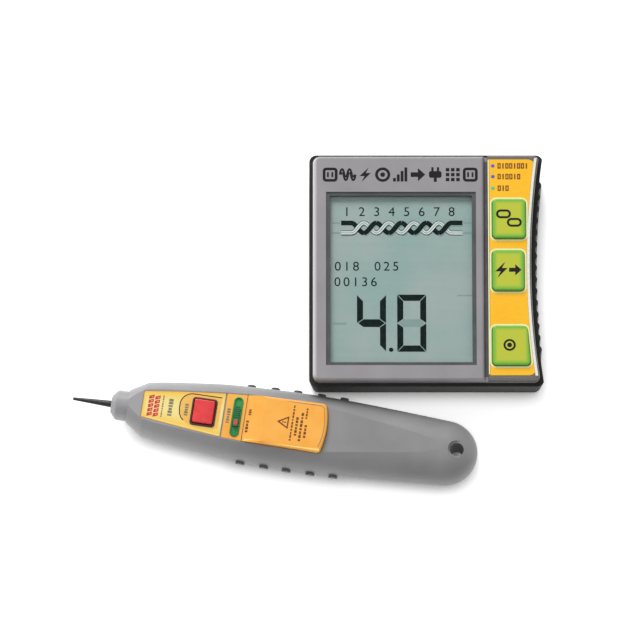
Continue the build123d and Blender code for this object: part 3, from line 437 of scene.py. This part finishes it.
def bar(x, y, width, height):
    return [[(x - width / 2, y - height / 2), (x + width / 2, y - height / 2),
             (x + width / 2, y + height / 2), (x - width / 2, y + height / 2)]]


def disc(x, y, radius, steps=20):
    angles = [2 * pi * i / steps for i in range(steps)]
    return [[(x + radius * cos(angle), y + radius * sin(angle)) for angle in angles]]


def ring(x, y, radius, width, steps=28):
    return disc(x, y, radius, steps) + disc(x, y, radius - width, steps)


def roundedBox(x, y, width, height, corner, steps=5):
    points = []
    for quarter, (sx, sy) in enumerate(((1, 1), (-1, 1), (-1, -1), (1, -1))):
        for i in range(steps + 1):
            angle = (quarter + i / steps) * pi / 2
            points.append((x + sx * (width / 2 - corner) + corner * cos(angle),
                           y + sy * (height / 2 - corner) + corner * sin(angle)))
    return points


def frameBox(x, y, width, height, corner, line):
    return [roundedBox(x, y, width, height, corner),
            roundedBox(x, y, width - 2 * line, height - 2 * line, max(0.1, corner - line))]


def shifted(shape, x, y, size=1.0):
    return [[(x + size * px, y + size * py) for px, py in loop] for loop in shape]


def addPiece(name, mesh, body, material):
    mesh.materials.append(materials[material])
    piece = bpy.data.objects.new(name, mesh)
    bpy.context.scene.collection.objects.link(piece)
    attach(piece, body)


def printPiece(name, shapes, place, height, body, material, thickness=0.05):
    # flat ink, one closed prism per shape; a shape is an outline followed by its holes, in mm
    mesh = bpy.data.meshes.new(name)
    corners, faces = [], []
    for shape in shapes:
        flat = [point for loop in shape for point in loop]
        first, count = len(corners), len(flat)
        corners += [place(x, y, height + thickness) for x, y in flat]
        corners += [place(x, y, height - thickness) for x, y in flat]
        for a, b, c in tessellate_polygon([[Vector((x, y, 0)) for x, y in loop] for loop in shape]):
            faces += [(first + a, first + b, first + c),
                      (first + count + c, first + count + b, first + count + a)]
        start = first
        for loop in shape:
            size = len(loop)
            for i in range(size):
                j = (i + 1) % size
                faces.append((start + i, start + j, start + count + j, start + count + i))
            start += size
    mesh.from_pydata(corners, [], faces)
    work = bmesh.new()
    work.from_mesh(mesh)
    bmesh.ops.recalc_face_normals(work, faces=work.faces)
    work.to_mesh(mesh)
    work.free()
    addPiece(name, mesh, body, material)


def digitPiece(name, words, place, height, body, material, size, thickness=0.04):
    # numerals in Blender's own typeface; words is a list of (text, x, y) with x, y their middle
    mesh = bpy.data.meshes.new(name)
    work = bmesh.new()
    for text, x, y in words:
        curve = bpy.data.curves.new(name + "Curve", "FONT")
        curve.body, curve.size, curve.extrude = text, size, thickness
        curve.align_x, curve.align_y = "CENTER", "CENTER"
        holder = bpy.data.objects.new(name + "Holder", curve)
        bpy.context.scene.collection.objects.link(holder)
        shaped = holder.evaluated_get(bpy.context.evaluated_depsgraph_get())
        letters = bpy.data.meshes.new_from_object(shaped)
        letters.transform(Matrix.Translation((x, y, 0)))
        work.from_mesh(letters)
        bpy.data.objects.remove(holder)
        bpy.data.meshes.remove(letters)
    for vert in work.verts:
        vert.co = place(vert.co.x, vert.co.y, height + vert.co.z)
    bmesh.ops.remove_doubles(work, verts=work.verts, dist=1e-7)
    bmesh.ops.recalc_face_normals(work, faces=work.faces)
    work.to_mesh(mesh)
    work.free()
    mesh.materials.clear()
    addPiece(name, mesh, body, material)


# generic pictograms, each drawn about 0, 0 and about 8 mm tall
boltSign = [[(1.9, 4.1), (-3.0, -0.8), (-0.3, -0.8), (-1.9, -4.1), (3.0, 0.9), (0.3, 0.9)]]
arrowSign = [[(-3.8, 1.3), (0.1, 1.3), (0.1, 3.7), (4.0, 0.0), (0.1, -3.7), (0.1, -1.3), (-3.8, -1.3)]]
waveSign = ribbon([(x / 5, 2.9 * sin(x * pi / 10)) for x in range(-20, 21)], 1.6)


lcdArt = {
    "digits": {"first": -42.8, "pitch": 8.07, "y": 32.7, "size": 7.3},
    "wires": {"y": 23.7, "swing": 2.85, "half": 6.74, "firstTrough": -33.6, "steps": (-1, 6),
              "ends": (-45.9, 19.4), "thick": 2.6},
    "numerals": {"rows": [("018", -47.7, 1.7), ("025", -26.3, 1.7), ("00136", -47.9, -7.1)],
                 "pitch": 4.9, "size": 7.3},
    "segments": {"size": (15.6, 32.2), "thick": 3.5, "gap": 0.26, "top": -14.1, "starts": (-37.4, -15.8),
                 "slope": 0.62, "point": 0.4, "side": 0.2},
    "dot": (-19.1, -45.2, 1.2),
    # unlit marks: x, y, width, height
    "ghosts": [(21.0, -14.6, 9.0, 0.8), (-46.5, -30.5, 7.0, 1.2)],
    "wireTips": {"places": (-48.6, 22.2), "size": (4.2, 1.0)},
    # heights over the glass, and how much wider or narrower each layer of a wire is
    "layers": {"first": 0.08, "step": 0.2, "haloDrop": 0.1, "haloGrow": 0.8, "coreRise": 0.04,
               "coreShrink": 0.7, "lineRise": 0.08, "lineWidth": 0.4, "thickness": 0.03},
}


def wireRun(phase, rising, width):
    # half waves from trough to crest or crest to trough, with the straight ends of the outer ones
    wires = lcdArt["wires"]
    half, swing, first = wires["half"], wires["swing"], wires["firstTrough"]
    runs = []
    low, high = wires["steps"]
    for step in range(low, high + 1):
        if ((step + phase) % 2 == 0) != rising:
            continue
        sign = 1 if rising else -1
        points = [(first + half * (step + i / 12), wires["y"] - sign * swing * cos(pi * i / 12))
                  for i in range(13)]
        if step == low:
            points.insert(0, (wires["ends"][0], points[0][1]))
        if step == high:
            points.append((wires["ends"][1], points[-1][1]))
        runs.append(ribbon(points, width))
    return runs


def digitSegments(left, top, lit):
    # seven segments with mitred ends: a top, b and c right, d foot, e and f left, g middle
    segments = lcdArt["segments"]
    (width, height), t, gap = segments["size"], segments["thick"], segments["gap"]
    point, side = segments["point"], segments["side"]
    right, foot, middle = left + width, top - height, top - height / 2
    innerLeft, innerRight, slope = left + t - gap, right - t + gap, t * segments["slope"]
    shapes = {
        "a": [(left + gap, top), (right - gap, top), (right - t, top - t), (left + t, top - t)],
        "d": [(left + gap, foot), (left + t, foot + t), (right - t, foot + t), (right - gap, foot)],
        "g": [(left + gap + point, middle), (left + t, middle + slope), (right - t, middle + slope),
              (right - gap - point, middle), (right - t, middle - slope), (left + t, middle - slope)],
        "f": [(left, top - gap), (left, middle + gap), (left + side, middle + gap),
              (innerLeft, middle + slope + gap), (innerLeft, top - t - gap)],
        "e": [(left, foot + gap), (innerLeft, foot + t + gap), (innerLeft, middle - slope - gap),
              (left + side, middle - gap), (left, middle - gap)],
        "b": [(right, top - gap), (innerRight, top - t - gap), (innerRight, middle + slope + gap),
              (right - side, middle + gap), (right, middle + gap)],
        "c": [(right, foot + gap), (right, middle - gap), (right - side, middle - gap),
              (innerRight, middle - slope - gap), (innerRight, foot + t + gap)],
    }
    return [[shapes[name]] for name in lit]


def buildDisplay():
    glass = testerLayout["glass"]
    digits, wires = lcdArt["digits"], lcdArt["wires"]
    words = [(str(i + 1), digits["first"] + i * digits["pitch"], digits["y"]) for i in range(8)]
    digitPiece("lcdWireNumbers", words, onTester, glass, "tester", "lcdInk", digits["size"])
    # falling runs lie under rising ones, so that the two wires twist round each other
    layers, thick = lcdArt["layers"], wires["thick"]
    for layer, rising in enumerate((False, True)):
        level = glass + layers["first"] + layers["step"] * layer
        word = "Rising" if rising else "Falling"
        runs = [("Dark", 0, thick, 0, "lcdInk"), ("Edge", 1, thick, 0, "lcdInk"),
                ("Core", 1, thick - layers["coreShrink"], layers["coreRise"], "lcdLight"),
                ("Line", 1, layers["lineWidth"], layers["lineRise"], "ghostInk")]
        if rising:
            printPiece("lcdHaloRising", wireRun(0, True, thick + layers["haloGrow"]), onTester,
                       level - layers["haloDrop"], "tester", "lcd", layers["thickness"])
        for part, phase, width, rise, ink in runs:
            printPiece("lcdWire" + part + word, wireRun(phase, rising, width), onTester, level + rise,
                       "tester", ink, layers["thickness"])
    numerals = lcdArt["numerals"]
    words = [(digit, x + i * numerals["pitch"], y) for text, x, y in numerals["rows"]
             for i, digit in enumerate(text)]
    digitPiece("lcdReadings", words, onTester, glass, "tester", "lcdInk", numerals["size"])
    top, (four, nought) = lcdArt["segments"]["top"], lcdArt["segments"]["starts"]
    lit = digitSegments(four, top, "fgbc") + digitSegments(nought, top, "abcdef") + [disc(*lcdArt["dot"])]
    printPiece("lcdBigDigits", lit, onTester, glass, "tester", "lcdInk")
    ghosts = digitSegments(nought, top, "g") + [bar(*mark) for mark in lcdArt["ghosts"]]
    tips = lcdArt["wireTips"]
    ghosts += [bar(x, wires["y"] + s * wires["swing"], *tips["size"])
               for x in tips["places"] for s in (-1, 1)]
    printPiece("lcdGhosts", ghosts, onTester, glass, "tester", "ghostInk", 0.02)


buildDisplay()
print("display drawn")


caseSide = {
    # insets, ends and steps of the painted highlight strip follow the case's hollowed right side
    "edge": 58.3, "waistRadius": 447.0, "highlightInsets": (2.9, 4.3), "highlightEnds": (-61.3, 61.9), "highlightSteps": 24,
    # x, y, width, height
    "creamEdge": (33.5, 0.2, 0.6, 121.5), "groove": (32.0, 0.2, 1.6, 121.6), "grooveFloor": 26.0,
}
faceArt = {
    "signs": {"first": -51.8, "pitch": 9.45, "y": 52.8,
              "names": ["socket", "wave", "bolt", "target", "steps", "arrow", "plug", "grid", "socket"]},
    "lamps": [(57.4, 8), (51.3, 6), (44.7, 3)], "lampMark": (38.3, 1.75, 3.1),
    "outline": 0.85, "outlineGap": 0.42,
}


def blockRow(start, y, count, width, height, line=0.62):
    # a line of open and solid blocks, which stands for a printed word
    row = []
    for i in range(count):
        x = start + (i + 0.5) * width * 1.2
        if i % 3 == 1:
            row.append(bar(x, y, line * 1.2, height))
        else:
            row.append([bar(x, y, width, height)[0], bar(x, y, width - 2 * line, height - 2 * line)[0]])
    return row


signs = {
    "bolt": [boltSign],
    "arrow": [arrowSign],
    "wave": [waveSign],
    "socket": [frameBox(0, 0, 8.0, 8.0, 1.9, 1.5), bar(-1.2, 0, 1.0, 2.8), bar(1.2, 0, 1.0, 2.8)],
    "target": [ring(0, 0, 4.1, 1.5), disc(0, 0, 1.3)],
    "steps": [bar(-3.1 + 2.05 * i, -2.9 + i, 1.5, 2.0 + 2.0 * i) for i in range(4)],
    "grid": [bar(2.8 * i, 2.8 * j, 1.9, 1.9) for i in (-1, 0, 1) for j in (-1, 0, 1)],
    "plug": [bar(-1.5, 3.1, 1.2, 2.2), bar(1.5, 3.1, 1.2, 2.2), [roundedBox(0, 0.1, 6.8, 3.8, 1.1)],
             bar(0, -2.95, 1.6, 2.3)],
}


def signRow():
    art = faceArt["signs"]
    return [shifted(shape, art["first"] + art["pitch"] * i, art["y"])
            for i, name in enumerate(art["names"]) for shape in signs[name]]


def keyLoop(left, rightTop, rightFoot, top, foot, grow, corner=2.2, steps=5):
    # rounded outline of a key whose right side may slant
    quad = [(rightTop + grow, top + grow), (left - grow, top + grow), (left - grow, foot - grow),
            (rightFoot + grow, foot - grow)]
    points, radius = [], corner + grow
    for quarter, (x, y) in enumerate(quad):
        sx = -1 if quarter in (0, 3) else 1
        sy = -1 if quarter in (0, 1) else 1
        for i in range(steps + 1):
            angle = (quarter + i / steps) * pi / 2
            points.append((x + sx * radius + radius * cos(angle), y + sy * radius + radius * sin(angle)))
    return points


keyShapes = {
    "upper_key": (35.5, 53.3, 53.3, 38.1, 16.0),
    "middle_key": (35.3, 52.4, 52.4, 9.1, -13.6),
    "lower_key": (35.1, 53.9, 55.6, -33.6, -55.7),
}


def buildFace():
    face, film = testerLayout["face"], testerLayout["frame"]
    printPiece("faceSigns", signRow(), onTester, face, "tester", "blackInk")
    gap, line = faceArt["outlineGap"], faceArt["outline"]
    outlines = [[keyLoop(*shape, gap + line), keyLoop(*shape, gap)] for shape in keyShapes.values()]
    printPiece("keyOutlines", outlines, onTester, film, "tester", "creamInk", 0.06)
    left, width, height = faceArt["lampMark"]
    marks = [shape for y, blocks in faceArt["lamps"] for shape in blockRow(left, y, blocks, width, height)]
    printPiece("lampMarks", marks, onTester, film, "tester", "brownInk")


def waistEdge(inset, y):
    # the case's hollowed right side, from its middle
    waist = caseSide["waistRadius"] + inset
    return caseSide["edge"] + caseSide["waistRadius"] - sqrt(waist ** 2 - y ** 2)


def buildTrims():
    height = testerLayout["frame"]
    # painted highlight: a near-white strip along the case's hollowed right side, beside the keypad label
    (low, high), count = caseSide["highlightEnds"], caseSide["highlightSteps"]
    steps = [low + i * (high - low) / count for i in range(count + 1)]
    outer = [(waistEdge(caseSide["highlightInsets"][0], y), y) for y in steps]
    inner = [(waistEdge(caseSide["highlightInsets"][1], y), y) for y in steps]
    printPiece("framePaintedHighlight", [[outer + inner[::-1]]], onTester, height, "tester",
               "paintedHighlightStrip", 0.1)
    printPiece("frameCreamEdge", [bar(*caseSide["creamEdge"])], onTester, height, "tester",
               "creamInk", 0.04)
    # painted shade laid on the groove floor between the face and the keypad frame
    printPiece("groovePaintedShade", [bar(*caseSide["groove"])], onTester, caseSide["grooveFloor"], "tester",
               "paintedGrooveShade", 0.3)


keyMarks = {
    # two links of a chain
    "upper_key": [frameBox(2.9 * side, -2.4 * side, 8.0, 5.0, 2.4, 1.2) for side in (-1, 1)],
    "middle_key": [shifted(boltSign, -3.7, 0, 1.1), shifted(arrowSign, 3.7, 0, 0.85)],
    "lower_key": [ring(-0.6, 0, 3.3, 1.1), disc(-0.6, 0, 1.3)],
}


def buildKeyMarks():
    for name, (left, rightTop, rightFoot, high, low) in keyShapes.items():
        x, y = (left + (rightTop + rightFoot) / 2) / 2, (high + low) / 2
        marks = [shifted(shape, x, y) for shape in keyMarks[name]]
        printPiece(name + "Mark", marks, onTester, testerLayout["keyTop"], name,
                   "blackInk")


buildFace()
buildTrims()
buildKeyMarks()
print("tester printed")


wandArt = {
    # distance along the wand, width, length across, blocks
    "redRows": [(42.9, 2.7, 12.0, 5), (46.2, 2.7, 12.0, 5)],
    "greyRows": [(49.3, 0.7, 12.4, 9), (53.6, 2.3, 10.0, 6), (62.2, 1.9, 7.0, 5)],
    "plateRow": (84.9, 1.7, 8.6, 6),
    "rampRows": [(96.3, 1.5, 3.6, 3, 3.4), (95.7, 1.5, 7.4, 4, -4.6)],
    "doorRows": [(119.6, 0.9, 20.6, 11, 0), (122.0, 1.3, 11.0, 6, -1.6), (124.5, 1.3, 16.6, 8, -1.6),
                 (127.0, 1.3, 8.0, 4, -3.6), (126.6, 1.0, 6.6, 4, 6.4)],
    "panel": {"start": 58.4, "end": 80.4, "half": 9.4, "corner": 6.6, "line": 0.5,
              "nearTurn": [(0.1, 0), (0.5, -2.6), (1.5, -4.6), (3.0, -6.0)],
              "fillStart": 64.4, "fillInset": 1.2},
    # painted highlight strip along the battery door's near edge
    "doorEdgeHighlight": {"start": 95.2, "end": 136.0, "width": 1.25, "halves": (12.75, 13.3)},
    "doorLine": {"start": 103.5, "corner": 133.0, "end": 136.8, "half": 12.0, "bow": 2.0, "radius": 2.7,
                 "width": 0.38, "lead": [(0, 0.4), (15, 0.2)],
                 "crossings": (8.2, 5, 2, -2, -5, -8.2, -11.2)},
    "bezel": (71.6, 0, 13.8, 16.0, 1.9),
    # triangle and its hole: point, foot and half width of each, then the bar in it
    "triangle": ((111.3, 117.6, 3.6), (112.8, 116.9, 2.4)), "triangleBar": (115.2, 0, 2.3, 0.5),
    # painted highlight strip along the label's near edge
    "labelEdgeHighlight": {"start": 41.0, "end": 81.6, "width": 0.8, "halves": (7.3, 12.0)},
}


def dashRow(along, width, length, blocks, middle=0.0):
    # a row of short blocks across the wand, as a printed line looks from afar
    pitch = length / blocks
    start = middle - length / 2
    return [bar(along, start + pitch * (i + 0.5), width * (0.75 if i % 4 == 2 else 1),
                pitch * (0.8 if i % 3 else 0.55)) for i in range(blocks)]


def slantRow(along, width, length, blocks):
    # heavier leaning blocks, for the mark at the nose
    pitch, lean = length / blocks, 0.5
    row = []
    for i in range(blocks):
        y = -length / 2 + pitch * i
        tall = pitch * 0.78
        row.append([[(along - width / 2, y - lean), (along + width / 2, y + lean),
                     (along + width / 2, y + tall + lean), (along - width / 2, y + tall - lean)],
                    [(along - 0.1, y + tall * 0.4), (along + width * 0.25, y + tall * 0.5),
                     (along + width * 0.25, y + tall * 0.72), (along - 0.1, y + tall * 0.62)]])
    return row


def nearEdgeHighlight(highlightBand):
    # painted highlight: a pale strip along the near rounded edge of a wand piece
    wide = highlightBand["width"]
    start, end, (first, last) = highlightBand["start"], highlightBand["end"], highlightBand["halves"]
    count = 12
    outer = [(start + (end - start) * i / count, -first - (last - first) * i / count)
             for i in range(count + 1)]
    return [outer + [(x, y + wide) for x, y in reversed(outer)]]


def panelLine(panel):
    # starts over the button, turns round its far corner and runs out beside it
    start, half, corner = panel["start"], panel["half"], panel["corner"]
    line = [(panel["end"], half)]
    line += [(start + corner - corner * sin(i * pi / 16), half - corner + corner * cos(i * pi / 16))
             for i in range(9)]
    return line + [(start + ahead, y) for ahead, y in panel["nearTurn"]]


def doorLine(line):
    # grey line drawn inside the door's rim: along its far side, round the corner, across its bowed end
    half, radius, corner = line["half"], line["radius"], line["corner"]
    points = [(line["start"] + ahead, half - inset) for ahead, inset in line["lead"]] + [(corner, half)]
    points += [(corner + radius * sin(i * pi / 10), half - radius + radius * cos(i * pi / 10))
               for i in range(1, 5)]
    points += [(line["end"] - line["bow"] * (y / half) ** 2, y) for y in line["crossings"]]
    return ribbon(points, line["width"])


def buildWandPrint():
    facet, art, panel, label = wandLayout["facet"], wandArt, wandArt["panel"], "pale_yellow_film"
    red = [shape for row in art["redRows"] for shape in slantRow(*row)]
    printPiece("labelRedMark", red, onWand, facet, "probe", "redInk")
    grey = [shape for row in art["greyRows"] for shape in dashRow(*row)]
    printPiece("labelGreyMarks", grey, onWand, facet + 0.04, "probe", "greyInk")
    line, near = panelLine(panel), panel["half"] - panel["fillInset"]
    fill = line + [(panel["fillStart"], -near), (panel["end"], -near)]
    cutFill = [fill, roundedBox(*art["bezel"])]
    printPiece("labelPanel", [cutFill], onWand, facet, "probe", "orangeInk", 0.03)
    edge = ribbon(line, panel["line"])
    printPiece("labelPanelEdge", [edge], onWand, facet + 0.02, "probe", "blackInk")
    # painted highlight along the label's near edge
    printPiece("labelEdgeHighlight", [nearEdgeHighlight(art["labelEdgeHighlight"])], onWand, facet, "probe", "paintedEdgeHighlight", 0.03)
    printPiece("plateMarks", dashRow(*art["plateRow"]), onWand, facet, "probe", "greyInk")


def buildDoorPrint():
    art, body, slot = wandArt, "probe_door", "amber_abs"
    ramp = [shape for row in art["rampRows"] for shape in dashRow(*row)]
    printPiece("rampMarks", ramp, onDoor, 0, body, "brownInk")
    triangle = [[(tip, 0), (foot, half), (foot, -half)] for tip, foot, half in art["triangle"]]
    marks = [triangle, bar(*art["triangleBar"])]
    marks += [shape for row in art["doorRows"] for shape in dashRow(*row)]
    printPiece("doorMarks", marks, onDoor, 0, body, "brownInk")
    printPiece("doorLine", [doorLine(art["doorLine"])], onDoor, 0, body, "greyInk", 0.04)
    # painted highlight along the door's near edge
    printPiece("doorEdgeHighlight", [nearEdgeHighlight(art["doorEdgeHighlight"])], onDoor, 0, body, "paintedEdgeHighlight", 0.05)


buildWandPrint()
buildDoorPrint()
print("wand printed")


studio = {
    "floorHalf": 1.6, "floorDrop": 0.02, "floorColour": "#f4f4f4",
    "floorGlow": 0.62, "glowBetween": (0.35, 0.85), "contactMm": 9.0, "world": 0.48,
    "cameraTarget": (6.3, 5.5, 0.0), "elevation": 72.0, "distance": 4800.0,
    "lens": 500.0, "sensor": 36.0, "clip": (0.01, 20),
    # place and width in metres, watts
    "softboxes": {"softboxFarLeft": ((-0.9, 2.9, 2.3), 2.2, 106),
                  "softboxOverhead": ((-0.1, -0.2, 3.0), 1.6, 10)},
}


def buildFloor():
    # a hair under the set, so that no faces share a plane
    half, under = studio["floorHalf"], -studio["floorDrop"] * mm
    mesh = bpy.data.meshes.new("floor")
    corners = [(x * half, y * half, under) for x, y in ((-1, -1), (1, -1), (1, 1), (-1, 1))]
    mesh.from_pydata(corners, [], [(0, 1, 2, 3)])
    floor = bpy.data.objects.new("floor", mesh)
    bpy.context.scene.collection.objects.link(floor)
    # matt board that glows a little except close to the set, so that only a contact shadow shows
    material, tree, shader = startMaterial("matt white board", 0.7)
    shader.inputs["Emission Color"].default_value = hexToLinear("#ffffff")
    nearby = addNode(tree, "ShaderNodeAmbientOcclusion", {"samples": 4},
                     {"Distance": studio["contactMm"] * mm})
    dark, light = studio["glowBetween"]
    glow = addNode(tree, "ShaderNodeMapRange", None,
                   {"Value": nearby.outputs["AO"], "From Min": dark, "From Max": light,
                    "To Min": 0.0, "To Max": studio["floorGlow"]})
    tree.links.new(glow.outputs["Result"], shader.inputs["Emission Strength"])
    shader.inputs["Base Color"].default_value = hexToLinear(studio["floorColour"])
    addGrain(tree, shader, 4.0, 0.01)
    mesh.materials.append(material)


def addSoftbox(name, where, size, watts):
    lamp = bpy.data.lights.new(name, "AREA")
    lamp.shape, lamp.size, lamp.energy = "DISK", size, watts
    holder = bpy.data.objects.new(name, lamp)
    bpy.context.scene.collection.objects.link(holder)
    holder.location = where
    holder.rotation_euler = (-Vector(where)).to_track_quat("-Z", "Y").to_euler()


def buildStudio():
    world = bpy.data.worlds.new("studio")
    bpy.context.scene.world = world
    world.use_nodes = True
    background = world.node_tree.nodes["Background"]
    background.inputs["Color"].default_value = hexToLinear("#ffffff")
    background.inputs["Strength"].default_value = studio["world"]
    for name, settings in studio["softboxes"].items():
        addSoftbox(name, *settings)
    bpy.context.scene.view_settings.view_transform = "Standard"


def buildCamera():
    lens = bpy.data.cameras.new("camera")
    lens.lens, lens.sensor_width = studio["lens"], studio["sensor"]
    lens.clip_start, lens.clip_end = studio["clip"]
    camera = bpy.data.objects.new("camera", lens)
    bpy.context.scene.collection.objects.link(camera)
    tilt = radians(studio["elevation"])
    target = Vector(studio["cameraTarget"]) * mm
    away = Vector((0, -cos(tilt), sin(tilt)))
    camera.location = target + away * studio["distance"] * mm
    camera.rotation_euler = (pi / 2 - tilt, 0, 0)
    bpy.context.scene.camera = camera


buildFloor()
buildStudio()
buildCamera()
print("studio ready")
